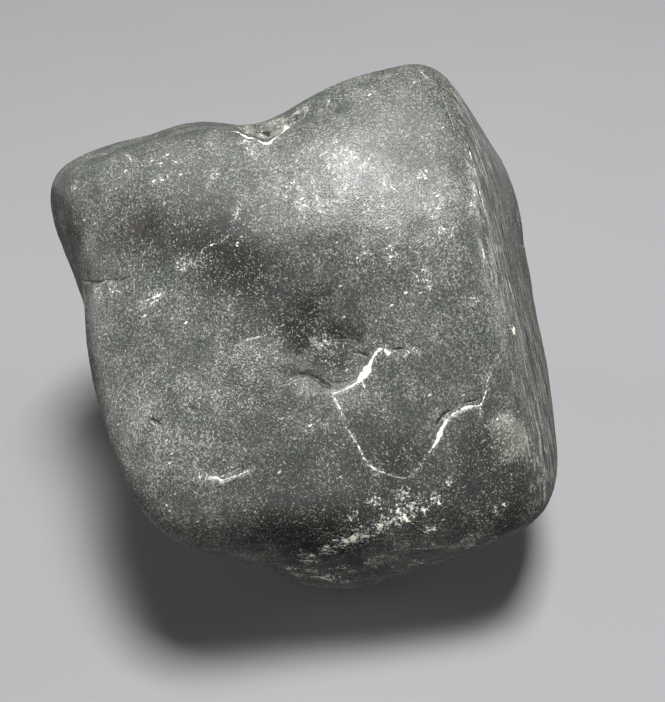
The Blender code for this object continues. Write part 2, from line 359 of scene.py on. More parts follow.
# Patches, by kind: a place and a reach in mm. These are in the photo's pixels.
SEEN_PATCHES = {
    "cream": [((353, 539), 1.1), ((346, 541), 0.8), ((366, 537), 0.5), ((334, 541), 0.5),
              ((326, 547), 0.5), ((312, 555), 0.4), ((381, 526), 0.5), ((404, 516), 0.6),
              ((407, 522), 0.4), ((423, 510), 0.5), ((438, 504), 0.45), ((413, 504), 0.4),
              ((433, 530), 0.4), ((513, 331), 0.8), ((510, 327), 0.4)],
    "crust": [((262, 134), 1.2), ((249, 133), 1.0), ((284, 127), 1.0), ((290, 568), 1.8),
              ((310, 560), 2.0), ((328, 551), 2.4), ((345, 543), 2.8), ((362, 535), 3.0),
              ((380, 526), 3.0), ((398, 516), 2.8), ((416, 508), 2.6), ((434, 500), 1.6),
              ((375, 502), 1.8), ((402, 494), 1.8), ((352, 516), 1.8), ((470, 546), 1.8),
              ((428, 530), 1.6), ((330, 577), 2.4), ((447, 482), 1.4), ((312, 570), 1.8)],
    "rough": [((322, 358), 3.2), ((342, 364), 2.6), ((262, 131), 1.8), ((275, 126), 1.4),
              ((360, 520), 4.0), ((400, 505), 4.4), ((330, 545), 2.6), ((250, 135), 1.0)],
    "tan": [((505, 430), 2.4), ((515, 440), 2.8), ((508, 450), 2.0), ((265, 133), 2.0),
            ((278, 127), 1.6), ((252, 132), 1.2)],
    "rust": [((137, 226), 1.6), ((232, 205), 1.4), ((205, 205), 1.0)],
}
HIDDEN_PATCHES = {
    "cream": [((116, 16), 0.5), ((96, -27), 0.8)],
    "crust": [((100, -24), 2.4), ((92, -30), 2.6), ((84, -33), 2.2), ((150, 30), 2.0),
              ((20, -40), 2.0), ((205, -30), 1.8)],
    "rough": [((108, -22), 3.4), ((90, -30), 3.4), ((150, 30), 3.0), ((20, -40), 3.0)],
    "tan": [((70, 12), 2.8), ((196, 24), 1.8)],
    "rust": [((140, 12), 1.6), ((50, -22), 1.4)],
}
# Where the stone is painted paler (+) or darker (-) over a wide area: a pixel, a reach and an
# amount.
# The darker spots are painted shade where the valley, the scar, the notch and the underside fall
# dark.
SEEN_TONES_AND_PAINTED_SHADE = (
    ((135, 395), 9.0, 0.80), ((110, 300), 6.0, 0.50), ((305, 315), 6.5, -0.80),
    ((300, 335), 3.5, -0.90), ((332, 362), 4.5, -0.70), ((335, 343), 3.0, -0.60),
    ((238, 232), 6.0, -0.60), ((230, 390), 7.0, -0.40), ((262, 129), 2.2, -0.90),
    ((370, 570), 7.0, -0.20), ((480, 445), 4.0, -0.50), ((225, 240), 8.0, -0.70),
    ((340, 530), 14.0, -0.85), ((515, 320), 8.0, 0.90), ((510, 500), 10.0, -1.30),
    ((150, 215), 7.0, -0.50), ((325, 358), 3.0, -0.10), ((245, 382), 6.0, -0.60),
    ((265, 515), 9.0, -0.80), ((400, 450), 5.0, -0.90), ((440, 350), 6.0, -0.40),
    ((445, 100), 3.5, -0.60), ((255, 275), 6.0, -0.50), ((140, 230), 6.0, -0.40),
    ((450, 500), 5.0, -0.50),
)
# Where the worn gloss is duller: a pixel, a reach and an amount.
SEEN_DULL = (
    ((250, 188), 9.0, 0.65), ((325, 362), 4.0, 0.60), ((215, 175), 9.0, 0.70),
    ((105, 165), 6.0, 0.35), ((428, 165), 6.5, 0.65), ((400, 110), 7.0, 0.60),
    ((150, 170), 9.0, 0.50),
)

# The slow change of tone all over: its size and amount.
TONE_DRIFT = (14.0, 0.5)

# The ridge's streaks: the line they keep to, in the photo's pixels, how far off it they reach,
# how much of them is left far away, and how far to the right the skin faces where they show.
RIDGE_ROUTE = ((440, 80), (458, 135), (474, 188), (498, 248), (523, 327), (540, 400), (546, 460))
RIDGE_REACH = 10.0
FAR_STREAKS = 0.15
STREAKS_FACE_RIGHT = (0.45, 0.75)
# The worn gloss is lost where the skin faces down and back: from and to these slopes.
MATT_FACES_DOWN = (0.55, 0.30)
MATT_FACES_BACK = (0.0, 0.4)

# The directions in which mineral grains and the ridge's streaks are drawn out.
GRAIN_DIRECTIONS = ((-0.10, 0.72, 0.68), (0.80, 0.45, 0.25), (-0.75, 0.30, 0.55))
RIDGE_DIRECTION = (0.30, -0.62, -0.72)

# The paint's patterns, in mm: round ones by size, drawn out ones by length and width.
FINE_SIZE = 0.30
RAGGED_SIZE = 0.40
CRUMB_SIZE = 0.50
GLOSS_SIZE = 0.9
CLUMP_SIZE = 3.5
ROCK_SIZE = 7.0
BOARD_SIZE = 30.0
GRAIN_SIZE = (0.60, 0.19)
FLECK_SIZE = (0.90, 0.36)
STREAK_SIZE = (5.0, 0.60)
BAND_SIZE = (13.0, 1.9)
SMEAR_SIZE = (14.0, 6.0)

COLOURS = {
    "green_rock": (0.029, 0.034, 0.032),
    "brown_rock": (0.046, 0.047, 0.042),
    "tan": (0.165, 0.165, 0.118),
    "speckle": (0.125, 0.130, 0.119),
    # Painted shade, laid over the rock where the tone runs low.
    "shade": (0.010, 0.011, 0.010),
    "grain": (0.28, 0.285, 0.255),
    "bright_grain": (0.50, 0.50, 0.46),
    "fleck": (0.62, 0.62, 0.57),
    "light_streak": (0.36, 0.365, 0.325),
    "dark_streak": (0.028, 0.032, 0.029),
    "rust": (0.045, 0.037, 0.033),
    "broken": (0.030, 0.031, 0.028),
    "dull_crystal": (0.36, 0.36, 0.33),
    "bright_crystal": (0.92, 0.92, 0.86),
    "cream": (0.90, 0.87, 0.73),
    "vein_edge": (0.68, 0.68, 0.64),
    "vein_core": (0.64, 0.61, 0.49),
    # Painted shadow in the open cracks.
    "gap": (0.012, 0.013, 0.012),
    "dark_board": (0.205, 0.205, 0.21),
    "light_board": (0.215, 0.215, 0.22),
}
# Each layer of paint: the values of its pattern at which it starts and is full, and its greatest
# share over what lies under it.
COVERS = {
    "tan": (0.62, 1.0, 0.9),
    "speckle": (0.42, 0.70, 1.0),
    # Painted shade, from where the tone drops below zero.
    "shade": (-0.1, -1.4, 0.85),
    "grain": (0.625, 0.76, 0.95),
    "bright_grain": (0.76, 0.86, 1.0),
    "fleck": (0.90, 0.97, 1.0),
    "fleck_edge": (0.46, 0.24, 1.0),
    "light_streak": (0.52, 0.66, 1.0),
    "dark_streak": (0.48, 0.36, 1.0),
    "rust": (0.2, 1.0, 0.6),
    "crust": (0.67, 0.74, 1.0),
    "bright_crystal": (0.35, 0.6, 1.0),
    "cream": (0.70, 0.80, 1.0),
    "vein": (-0.02, 0.07, 0.92),
    "vein_core": (0.10, 0.35, 1.0),
    "vein_halo": (-0.70, 0.0, 0.05),
    # Painted shadow in the open cracks.
    "gap": (-0.08, 0.06, 0.9),
}
BROKEN_SHARE = 0.25
STREAK_GAPS = (0.25, 0.60, 0.25)
# How much each thing adds to the number of grains, to a patch's spread and to an edge's fraying.
DENSITY = {"tone_and_painted_shade": 0.025, "tan": 0.08, "clumps": 0.17, "smears": 0.15, "bands": 0.45}
DARKEST_FOR_GRAINS = -0.2
BRIGHT_GRAIN_DENSITY = 0.5
SPREADS = {"tan": 0.9, "crust": 0.19, "cream": 0.42}
FRAYING = {"vein": 0.50, "vein_core": 0.8, "gap": 0.20}

# Roughness and mirror strength: what they start from and what each thing adds.
ROUGHNESS = {"bare": 0.19, "patches": 0.26, "matt": 0.35, "dull": 0.30, "broken": 0.25}
MIRROR = {"bare": 0.5, "matt": -0.45, "broken": -0.3}
REFRACTION = 1.38
# The finest relief: its full height in mm and what each thing adds to it.
RELIEF_HEIGHT = 0.075
RELIEF = {"grains": 0.6, "fine": 0.7, "pale": 0.5, "gap": -0.6}
BOARD_ROUGHNESS = 0.9

# In metres: how far the floor reaches, the nearest that the camera sees, and each lamp's place,
# aim and size, with its power in watts.
FLOOR_HALF_WIDTH = 1.5
NEAREST_SEEN = 0.001
LAMPS = {
    "overhead": ((0.04, -0.02, 0.60), (0.0, 0.0, 0.04), 0.15, 7.6),
    "left_fill": ((-0.65, 0.00, 0.25), (0.0, 0.0, 0.04), 0.50, 2.0),
    "front_fill": ((0.10, -0.60, 0.10), (0.0, 0.0, 0.03), 0.30, 1.1),
    "right_fill": ((0.60, 0.10, 0.30), (0.0, 0.0, 0.04), 0.30, 1.2),
}
SURROUNDINGS = (0.50, 0.50, 0.52)
SURROUNDINGS_STRENGTH = 0.05


def unit_rows(rows):
    """The rows, each scaled to length one."""
    rows = np.asarray(rows, dtype=float)
    return rows / np.linalg.norm(rows, axis=1, keepdims=True)


def smooth_step(low, high, value):
    """0 below low, 1 above high, with a soft rise between them."""
    share = np.clip((value - low) / (high - low), 0.0, 1.0)
    return share * share * (3.0 - 2.0 * share)


# The stone's form


def worn_radius(directions):
    """Distance from the heart to the worn faces, blended so that their edges are rounded."""
    looks = unit_rows([look for look, _ in WORN_FACES.values()])
    distances = np.array([distance for _, distance in WORN_FACES.values()])
    nearness = np.clip(directions @ looks.T, 0.0, None) / distances
    return (nearness**EDGE_SHARPNESS).sum(axis=1) ** (-1.0 / EDGE_SHARPNESS)


def offset_from_line(points, start, end):
    """The shortest step to each point from the straight line between start and end."""
    span = end - start
    length_squared = max(float(span @ span), TINY**2)
    along = np.clip((points - start) @ span / length_squared, 0.0, 1.0)
    return points - start - along[:, None] * span


def swelling_height(points):
    """How far the swellings and hollows lift each point away from the heart."""
    height = np.zeros(len(points))
    for start, end, reach_up, reach_down, rise in SWELLINGS.values():
        offset = offset_from_line(points, np.array(start, float), np.array(end, float))
        away = np.linalg.norm(offset, axis=1)
        upper_share = 0.5 + 0.5 * offset[:, 2] / np.maximum(away, TINY)
        reach = reach_down + (reach_up - reach_down) * upper_share
        height += rise * np.exp(-((away / reach) ** 2))
    return height


def nudged(directions):
    """The directions, each turned a little aside by crossing waves."""
    aside = np.zeros_like(directions)
    for waves, size in UNEVENNESS:
        phase = 2 * np.pi * waves * directions
        aside += size * np.sin(phase[:, [1, 2, 0]] + np.cos(phase[:, [2, 0, 1]]))
    return unit_rows(directions + aside)


def softly_larger(first, second):
    """The larger of two lengths, with the corner between them rounded."""
    return RIM_ROUNDING * np.logaddexp(first / RIM_ROUNDING, second / RIM_ROUNDING)


def broken_radius(directions, radius):
    """The radius cut back by the breaks, and how near each ray passes to a break's rim."""
    directions = nudged(directions)
    rim = np.full(len(directions), FAR_OUT)
    for middle, walls in BREAKS.values():
        cut = np.zeros(len(directions))
        for look, depth in walls:
            look = unit_rows([look])[0]
            towards = np.maximum(directions @ look, GRAZING)
            reached = (look @ np.array(middle) - depth) / towards
            cut = softly_larger(cut, np.minimum(reached, FAR_OUT))
        rim = np.minimum(rim, np.abs(radius - cut))
        radius = -softly_larger(-radius, -cut)
    return radius, rim


def skin(directions):
    """The point of the bare skin in each direction from the heart, and its nearness to a rim."""
    directions = unit_rows(directions)
    radius = worn_radius(directions)
    radius = radius + swelling_height(directions * radius[:, None])
    radius, rim = broken_radius(directions, radius)
    return directions * radius[:, None], rim


# The photo's view


VIEW_RIGHT = np.array([1.0, 0.0, 0.0])
VIEW_UP = np.array([0.0, np.sin(VIEW_ELEVATION), np.cos(VIEW_ELEVATION)])
VIEW_BACK = np.array([0.0, -np.cos(VIEW_ELEVATION), np.sin(VIEW_ELEVATION)])
VIEW_TARGET = VIEW_OFFSET_RIGHT * VIEW_RIGHT + VIEW_OFFSET_UP * VIEW_UP
VIEW_EYE = VIEW_TARGET + VIEW_DISTANCE * VIEW_BACK


def pixel_ray(pixel):
    """The direction in which the camera sees a pixel of the photo."""
    right = (pixel[0] - IMAGE_WIDTH / 2) / FOCAL_PIXELS
    up = (IMAGE_HEIGHT / 2 - pixel[1]) / FOCAL_PIXELS
    return Vector(VIEW_RIGHT * right + VIEW_UP * up - VIEW_BACK)


def noise_at(points, size):
    """Smooth noise at each point, from about -1 to 1."""
    return np.array([noise.noise(Vector(point)) for point in points / size])


class Skin:
    """The bare stone as a surface to find places on."""

    def __init__(self, points, faces):
        self.tree = BVHTree.FromPolygons(points.tolist(), faces.tolist())

    def under_pixel(self, pixel):
        """The place on the stone that the photo shows at a pixel."""
        place = self.tree.ray_cast(Vector(VIEW_EYE), pixel_ray(pixel))[0]
        if place is None:
            raise ValueError(f"no stone under the pixel {tuple(pixel)}")
        return np.array(place)

    def at_angles(self, degrees):
        """The place on the stone at an angle round from the right and an angle up."""
        round_, up = np.radians(degrees)
        level = np.cos(up)
        outwards = (level * np.cos(round_), level * np.sin(round_), np.sin(up))
        return skin(np.array([outwards]))[0][0]

    def nearest(self, place):
        """The nearest place on the stone."""
        return np.array(self.tree.find_nearest(Vector(place))[0])

    def normal(self, place):
        """The way the stone faces at a place."""
        return np.array(self.tree.find_nearest(Vector(place))[1])


def spaced(route, step):
    """Rows along a chain of straight lines, about one a step of the first two numbers."""
    route = np.array(route, float)
    rows = []
    for start, end in zip(route, route[1:]):
        count = max(2, int(np.linalg.norm((end - start)[:2]) / step) + 1)
        rows += [start + (end - start) * share for share in np.linspace(0, 1, count)]
    return np.array(rows)


def wandering(place):
    """A smooth, lasting random step for a place."""
    step = np.zeros(3)
    for size, swing in BENDS:
        for axis, shift in enumerate(AXIS_SHIFTS):
            step[axis] += swing * noise.noise(Vector(place) / size + Vector((shift, 0, 0)))
    return step


def line_samples(stone, route, depth, drop, find, step, up):
    """Closely spaced rows along a line: place, way up across it, half width, depth and drop."""
    spots = spaced(route, step)
    places = np.array([find(spot[:2]) for spot in spots])
    places = places + np.array([wandering(place) for place in places])
    ways = unit_rows(np.gradient(places, axis=0) + TINY)
    share = np.linspace(0, 1, len(spots))
    ends = smooth_step(0.0, FADING_END, share) * smooth_step(0.0, FADING_END, 1.0 - share)
    across = np.array([np.cross(way, stone.normal(place)) for way, place in zip(ways, places)])
    across *= np.where(across @ up > 0, 1.0, -1.0)[:, None]
    size, amount = WIDTH_SWELLS
    width_share = WIDTH_SHARE * (1.0 + amount * noise_at(places, size))
    return np.column_stack([places, across, spots[:, 2] * width_share, depth * ends, drop * ends])


def scratch_samples(stone, sprays, find, dice):
    """The same rows for sprays of short straight scratches in all directions."""
    rows = []
    for spot, reach, count in sprays:
        middle = find(spot)
        for _ in range(count):
            start = middle + dice.normal(0, reach / 2, 3)
            way = dice.normal(0, 1, 3)
            normal = stone.normal(start)
            way = way - normal * (way @ normal)
            way *= dice.uniform(*SCRATCH_LENGTHS) / np.linalg.norm(way)
            half_width = dice.uniform(*SCRATCH_HALF_WIDTHS)
            for share in np.linspace(-0.5, 0.5, SCRATCH_SAMPLES):
                place = stone.nearest(start + way * share)
                width = half_width * (MIDDLE_WIDTH - TAPER * abs(share))
                rows.append((*place, *normal, width, 0.0, 0.0))
    return np.array(rows)


class Lines:
    """Lines of one kind, and what they do to the points near them."""

    def __init__(self, samples):
        self.samples = samples
        self.tree = KDTree(len(samples))
        for index, row in enumerate(samples):
            self.tree.insert(row[:3], index)
        self.tree.balance()

    def distance(self, points):
        """How far each point lies from the nearest line."""
        return np.array([self.tree.find(point)[2] for point in points])

    def act_on(self, points):
        """For each point: its lift, and how far it lies inside a line's width."""
        found = [self.tree.find(point) for point in points]
        rows = self.samples[[index for _, index, _ in found]]
        distance = np.array([away for _, _, away in found])
        above = ((points - rows[:, :3]) * rows[:, 3:6]).sum(axis=1)
        half_width, depth, drop = rows[:, 6], rows[:, 7], rows[:, 8]
        lift = -depth * np.exp(-((distance / (half_width + GROOVE_MARGIN)) ** 2))
        fade = np.exp(-((distance / STEP_REACH) ** 2))
        lift += drop * fade * smooth_step(STEP_FOOT, STEP_HEAD, above)
        inside = np.clip(half_width - distance, -FIELD_REACH, FIELD_REACH)
        return lift, inside


def all_lines(stone):
    """The stone's pale veins and its gaps, which carry painted shadow."""
    dice = np.random.default_rng(SPRAY_SEED)
    seen = (stone.under_pixel, SAMPLE_PIXELS, VIEW_UP)
    hidden = (stone.at_angles, SAMPLE_DEGREES, np.array([0.0, 0.0, 1.0]))
    veins, gaps = [], []
    for routes, how in ((SEEN_VEINS, seen), (HIDDEN_VEINS, hidden)):
        for drop, route in routes.values():
            veins.append(line_samples(stone, route, 0.0, drop, *how))
    for routes, how in ((SEEN_GAPS, seen), (HIDDEN_GAPS, hidden)):
        for depth, drop, route in routes.values():
            gaps.append(line_samples(stone, route, depth, drop, *how))
    veins.append(scratch_samples(stone, SEEN_SPRAYS, stone.under_pixel, dice))
    veins.append(scratch_samples(stone, HIDDEN_SPRAYS, stone.at_angles, dice))
    return Lines(np.vstack(veins)), Lines(np.vstack(gaps))


# The fine mesh


def icosahedron():
    """The corners of a regular solid of twenty faces around the heart, and its faces."""
    golden = (1 + 5**0.5) / 2
    corners = [(-1, golden, 0), (1, golden, 0), (-1, -golden, 0), (1, -golden, 0),
               (0, -1, golden), (0, 1, golden), (0, -1, -golden), (0, 1, -golden),
               (golden, 0, -1), (golden, 0, 1), (-golden, 0, -1), (-golden, 0, 1)]
    faces = [(0, 11, 5), (0, 5, 1), (0, 1, 7), (0, 7, 10), (0, 10, 11),
             (1, 5, 9), (5, 11, 4), (11, 10, 2), (10, 7, 6), (7, 1, 8),
             (3, 9, 4), (3, 4, 2), (3, 2, 6), (3, 6, 8), (3, 8, 9),
             (4, 9, 5), (2, 4, 11), (6, 2, 10), (8, 6, 7), (9, 8, 1)]
    return unit_rows(corners), np.array(faces)


def edges_of(faces):
    """The two ends of each edge, and which three edges each face has."""
    pairs = np.stack([faces, np.roll(faces, -1, axis=1)], axis=2)
    count = faces.max() + 1
    keys, which = np.unique(pairs.min(axis=2) * count + pairs.max(axis=2), return_inverse=True)
    return np.column_stack([keys // count, keys % count]), which.reshape(-1, 3)


def turned(rows, first):
    """Rows of three, each turned round so that its given member comes first."""
    return np.take_along_axis(rows, (first[:, None] + np.arange(3)) % 3, axis=1).T


def halved(points, faces, wanted):
    """The mesh with the wanted edges halved, and the faces beside them divided to match."""
    ends, which = edges_of(faces)
    middles = np.full(len(ends), -1)
    middles[wanted] = len(points) + np.arange(wanted.sum())
    points = np.vstack([points, points[ends[wanted]].mean(axis=1)])
    sides = middles[which]
    halves = (sides >= 0).sum(axis=1)
    a, b, c = faces[halves == 3].T
    ab, bc, ca = sides[halves == 3].T
    parts = [(a, ab, ca), (ab, b, bc), (ca, bc, c), (ab, bc, ca)]
    one = halves == 1
    first = (sides[one] >= 0).argmax(axis=1)
    (a, b, c), (ab, _, _) = turned(faces[one], first), turned(sides[one], first)
    parts += [(a, ab, c), (ab, b, c)]
    two = halves == 2
    first = (sides[two] < 0).argmax(axis=1) + 1
    (a, b, c), (ab, bc, _) = turned(faces[two], first), turned(sides[two], first)
    from_a = np.linalg.norm(points[a] - points[bc], axis=1)
    from_c = np.linalg.norm(points[ab] - points[c], axis=1)
    shorter = from_a < from_c
    parts += [(ab, b, bc), (a, ab, np.where(shorter, bc, c)), (np.where(shorter, a, ab), bc, c)]
    return points, np.vstack([faces[halves == 0]] + [np.column_stack(part) for part in parts])


def even_skin():
    """The bare skin in triangles of about one size."""
    points, faces = icosahedron()
    for _ in range(SPHERE_DIVISIONS):
        points, faces = halved(points, faces, np.full(len(edges_of(faces)[0]), True))
        points = unit_rows(points)
    return skin(points)[0], faces


def refine(points, faces, lines, longest, margin):
    """Halve the long edges that lie near a line or on a break's rim."""
    ends = edges_of(faces)[0]
    middles = points[ends].mean(axis=1)
    lengths = np.linalg.norm(points[ends[:, 0]] - points[ends[:, 1]], axis=1)
    near = lengths > longest
    chosen = middles[near]
    near[near] = np.minimum(*(kind.distance(chosen) for kind in lines)) < margin
    wide = lengths > 2 * RIM_EDGE
    wide[wide] = skin(middles[wide])[1] < RIM_MARGIN
    points, faces = halved(points, faces, near | wide)
    return skin(points)[0], faces


def facing(points, faces):
    """The way the mesh faces at each vertex."""
    a, b, c = (points[faces[:, corner]] for corner in range(3))
    across = np.cross(b - a, c - a)
    total = np.zeros_like(points)
    for corner in range(3):
        np.add.at(total, faces[:, corner], across)
    return unit_rows(total)


def without_folds(points, faces):
    """The points, with those on the sharpest folds moved between their neighbours."""
    ends, which = edges_of(faces)
    beside = np.argsort(which.ravel(), kind="stable").reshape(-1, 2) // 3
    neighbours = np.bincount(ends.ravel(), minlength=len(points))[:, None]
    for _ in range(FOLD_PASSES):
        a, b, c = (points[faces[:, corner]] for corner in range(3))
        across = unit_rows(np.cross(b - a, c - a))
        alike = (across[beside[:, 0]] * across[beside[:, 1]]).sum(axis=1)
        folded = np.unique(ends[alike < FOLD_COSINE])
        total = np.zeros_like(points)
        np.add.at(total, ends[:, 0], points[ends[:, 1]])
        np.add.at(total, ends[:, 1], points[ends[:, 0]])
        points[folded] = (total / neighbours)[folded]
    return points


def nearness(places, points):
    """How near each point is to any of the places, from 0 to 1, each place with its own reach."""
    best = np.zeros(len(points))
    for place, reach in places:
        best = np.maximum(best, np.exp(-(((points - place) ** 2).sum(axis=1)) / reach**2))
    return best


def patches(stone, kind):
    """The places and reaches of one kind of patch, on all sides."""
    seen = [(stone.under_pixel(pixel), reach) for pixel, reach in SEEN_PATCHES[kind]]
    return seen + [(stone.at_angles(angles), reach) for angles, reach in HIDDEN_PATCHES[kind]]


def lobes(stone, table, points):
    """The sum of wide soft spots, each with its own amount, at each point."""
    total = np.zeros(len(points))
    for pixel, reach, amount in table:
        total += amount * nearness([(stone.under_pixel(pixel), reach)], points)
    return total


def painted(stone, points, normals):
    """What the finish reads at each vertex beside the veins and gaps."""
    paint = {kind: nearness(patches(stone, kind), points) for kind in SEEN_PATCHES}
    # The tone: a slow random drift of the stone's own colour, with the listed spots of painted
    # shade and paler tone on top.
    size, amount = TONE_DRIFT
    paint["tone_and_painted_shade"] = amount * noise_at(points, size) + lobes(stone, SEEN_TONES_AND_PAINTED_SHADE, points)
    paint["dull"] = lobes(stone, SEEN_DULL, points)
    ridge = [(stone.under_pixel(pixel), RIDGE_REACH) for pixel in RIDGE_ROUTE]
    near_ridge = FAR_STREAKS + (1.0 - FAR_STREAKS) * nearness(ridge, points)
    paint["streaky"] = smooth_step(*STREAKS_FACE_RIGHT, normals[:, 0]) * near_ridge
    faces_down = smooth_step(*MATT_FACES_DOWN, normals[:, 2])
    paint["matt"] = np.maximum(faces_down, smooth_step(*MATT_FACES_BACK, normals[:, 1]))
    return paint


def fine_stone():
    """The detailed stone around its heart, with what its finish reads at each vertex."""
    points, faces = even_skin()
    stone = Skin(points, faces)
    lines = all_lines(stone)
    for longest, margin in LINE_PASSES:
        points, faces = refine(points, faces, lines, longest, margin)
    normals = facing(points, faces)
    lift, vein = lines[0].act_on(points)
    sink, gap = lines[1].act_on(points)
    paint = {"vein": vein, "gap": gap, **painted(stone, points, normals)}
    lift += sink
    for size, height in LUMPS:
        lift += height * noise_at(points, size)
    size, height = BROKEN_LUMPS
    lift += height * noise_at(points, size) * paint["rough"]
    size, height = CRUST_LUMPS
    crumbs = np.maximum(noise_at(points, size), 0.0)
    lift += height * crumbs * np.maximum(paint["crust"], paint["cream"])
    points = without_folds(points + normals * lift[:, None], faces)
    points[:, 2] = np.maximum(points[:, 2], RESTING_HEIGHT)
    return points, faces, paint


def stone_object():
    """The detailed stone in its place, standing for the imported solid."""
    points, faces, paint = fine_stone()
    low, high = (np.array(corner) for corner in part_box(NODE))
    bare = skin(unit_rows(points))[0]
    heart = (low + high) / 2 - MM * (bare.min(axis=0) + bare.max(axis=0)) / 2
    heart[2] = low[2] - RESTING_HEIGHT * MM
    data = bpy.data.meshes.new("gastrolith_skin")
    data.from_pydata((points * MM + heart).tolist(), [], faces.tolist())
    for name, values in paint.items():
        layer = data.attributes.new(name, "FLOAT", "POINT")
        layer.data.foreach_set("value", np.asarray(values, np.float32))
    data.shade_smooth()
    stone = bpy.data.objects.new("gastrolith_skin", data)
    bpy.context.scene.collection.objects.link(stone)
    return stone, heart


# The finish


class Paint:
    """A material's nodes, with short ways to add and join them."""

    def __init__(self, name):
        self.material = bpy.data.materials.new(name)
        self.material.use_nodes = True
        self.tree = self.material.node_tree
        self.shader = self.tree.nodes["Principled BSDF"]
        self.place = self.add("ShaderNodeTexCoord").outputs["Object"]

    def add(self, kind, inputs=(), **settings):
        """A new node with these settings, its inputs set or joined."""
        node = self.tree.nodes.new(kind)
        for name, value in settings.items():
            setattr(node, name, value)
        for name, value in dict(inputs).items():
            self.feed(node.inputs[name], value)
        return node

    def feed(self, socket, value):
        """Join the value to the socket, or set it there."""
        if isinstance(value, bpy.types.NodeSocket):
            self.tree.links.new(value, socket)
        else:
            socket.default_value = value

    def at_vertex(self, name):
        """What the mesh says at each vertex."""
        return self.add("ShaderNodeAttribute", attribute_name=name).outputs["Fac"]

    def noise(self, size, detail=2.0, roughness=0.5, distortion=0.0, place=None):
        """Smooth noise from 0 to 1 with features of the size, in metres."""
        inputs = {"Vector": place or self.place, "Scale": 1.0 / size, "Detail": detail,
                  "Roughness": roughness, "Distortion": distortion}
        return self.add("ShaderNodeTexNoise", inputs).outputs[0]

    def rise(self, value, low, high, to_low=0.0, to_high=1.0):
        """A soft rise of the value between low and high."""
        inputs = {"Value": value, "From Min": low, "From Max": high}
        inputs.update({"To Min": to_low, "To Max": to_high})
        return self.add("ShaderNodeMapRange", inputs, interpolation_type="SMOOTHSTEP").outputs[0]

    def math(self, operation, first, second=0.0, third=0.0):
        """One sum on two or three values."""
        inputs = {0: first, 1: second, 2: third}
        return self.add("ShaderNodeMath", inputs, operation=operation).outputs[0]

    def scaled(self, value, factor, base=0.0):
        """The value times the factor, added to the base."""
        return self.math("MULTIPLY_ADD", value, factor, base)

    def swing(self, pattern):
        """A pattern from 0 to 1, moved so that its middle is 0."""
        return self.math("SUBTRACT", pattern, 0.5)

    def cover(self, kind, value):
        """The share of one layer where its pattern has the value."""
        low, high, most = COVERS[kind]
        return self.rise(value, low, high, 0.0, most)

    def mixed(self, share, first, second):
        """The first colour, with a share of the second over it. A name stands for its colour."""
        pair = [(*COLOURS[one], 1.0) if isinstance(one, str) else one for one in (first, second)]
        inputs = {0: share, 6: pair[0], 7: pair[1]}
        return self.add("ShaderNodeMix", inputs, data_type="RGBA").outputs[2]


def along(paint, direction, size):
    """Coordinates drawn out along a direction, in steps of a length and a width."""
    length, width = size
    first = Vector(direction).normalized()
    second = first.cross(Vector((1.0, 0.0, 0.0))).normalized()
    turn = Matrix((first, second, first.cross(second))).transposed().to_euler()
    scale = (length * MM, width * MM, width * MM)
    inputs = {"Vector": paint.place, "Rotation": turn, "Scale": scale}
    return paint.add("ShaderNodeMapping", inputs, vector_type="TEXTURE").outputs[0]


def mineral_grains(paint):
    """The strongest at each place of short strokes drawn out in three directions."""
    fields = []
    for direction in GRAIN_DIRECTIONS:
        place = along(paint, direction, GRAIN_SIZE)
        fields.append(paint.noise(1.0, 1.0, 0.6, 0.3, place))
    return paint.math("MAXIMUM", paint.math("MAXIMUM", fields[0], fields[1]), fields[2])


def grain_density(paint, tone_and_painted_shade, tan):
    """Where the pale grains lie thicker: in clumps, smears and bands, and beside veins."""
    # The tone, painted shade included, thins the grains a little where it runs low.
    toned = paint.math("MAXIMUM", tone_and_painted_shade, DARKEST_FOR_GRAINS)
    density = paint.scaled(toned, DENSITY["tone_and_painted_shade"], paint.scaled(tan, DENSITY["tan"]))
    clumps = paint.noise(CLUMP_SIZE * MM, 3.0)
    density = paint.scaled(paint.swing(clumps), DENSITY["clumps"], density)
    smears = paint.noise(1.0, 4.0, 0.6, 0.8, along(paint, GRAIN_DIRECTIONS[0], SMEAR_SIZE))
    density = paint.scaled(paint.swing(smears), DENSITY["smears"], density)
    bands = paint.noise(1.0, 2.0, 0.6, 0.4, along(paint, RIDGE_DIRECTION, BAND_SIZE))
    banded = paint.math("MULTIPLY", paint.swing(bands), paint.at_vertex("streaky"))
    density = paint.scaled(banded, DENSITY["bands"], density)
    return paint.math("ADD", paint.cover("vein_halo", paint.at_vertex("vein")), density)


def flecks(paint, density):
    """Single bright mineral flecks, more of them where the grains lie thick."""
    place = along(paint, GRAIN_DIRECTIONS[1], FLECK_SIZE)
    cells = paint.add("ShaderNodeTexVoronoi", {"Vector": place, "Scale": 1.0})
    chosen = paint.cover("fleck", paint.math("ADD", cells.outputs["Color"], density))
    return paint.math("MULTIPLY", chosen, paint.cover("fleck_edge", cells.outputs["Distance"]))


def grained_rock(paint, fine, ragged, grains):
    """The colour of the dark rock with its tan spots, speckle, painted shade, grains and flecks."""
    tone_and_painted_shade = paint.at_vertex("tone_and_painted_shade")
    colour = paint.mixed(paint.noise(ROCK_SIZE * MM), "green_rock", "brown_rock")
    tan = paint.cover("tan", paint.scaled(paint.at_vertex("tan"), SPREADS["tan"], ragged))
    colour = paint.mixed(tan, colour, "tan")
    density = grain_density(paint, tone_and_painted_shade, tan)
    speckle = paint.cover("speckle", paint.math("ADD", fine, density))
    colour = paint.mixed(speckle, colour, "speckle")
    # Painted shade over the rock where the tone runs low: the valley, scar, notch and underside.
    colour = paint.mixed(paint.cover("shade", tone_and_painted_shade), colour, "shade")
    grain = paint.cover("grain", paint.math("ADD", grains, density))
    colour = paint.mixed(grain, colour, "grain")
    bright = paint.cover("bright_grain", paint.scaled(density, BRIGHT_GRAIN_DENSITY, grains))
    colour = paint.mixed(bright, colour, "bright_grain")
    return paint.mixed(flecks(paint, density), colour, "fleck")


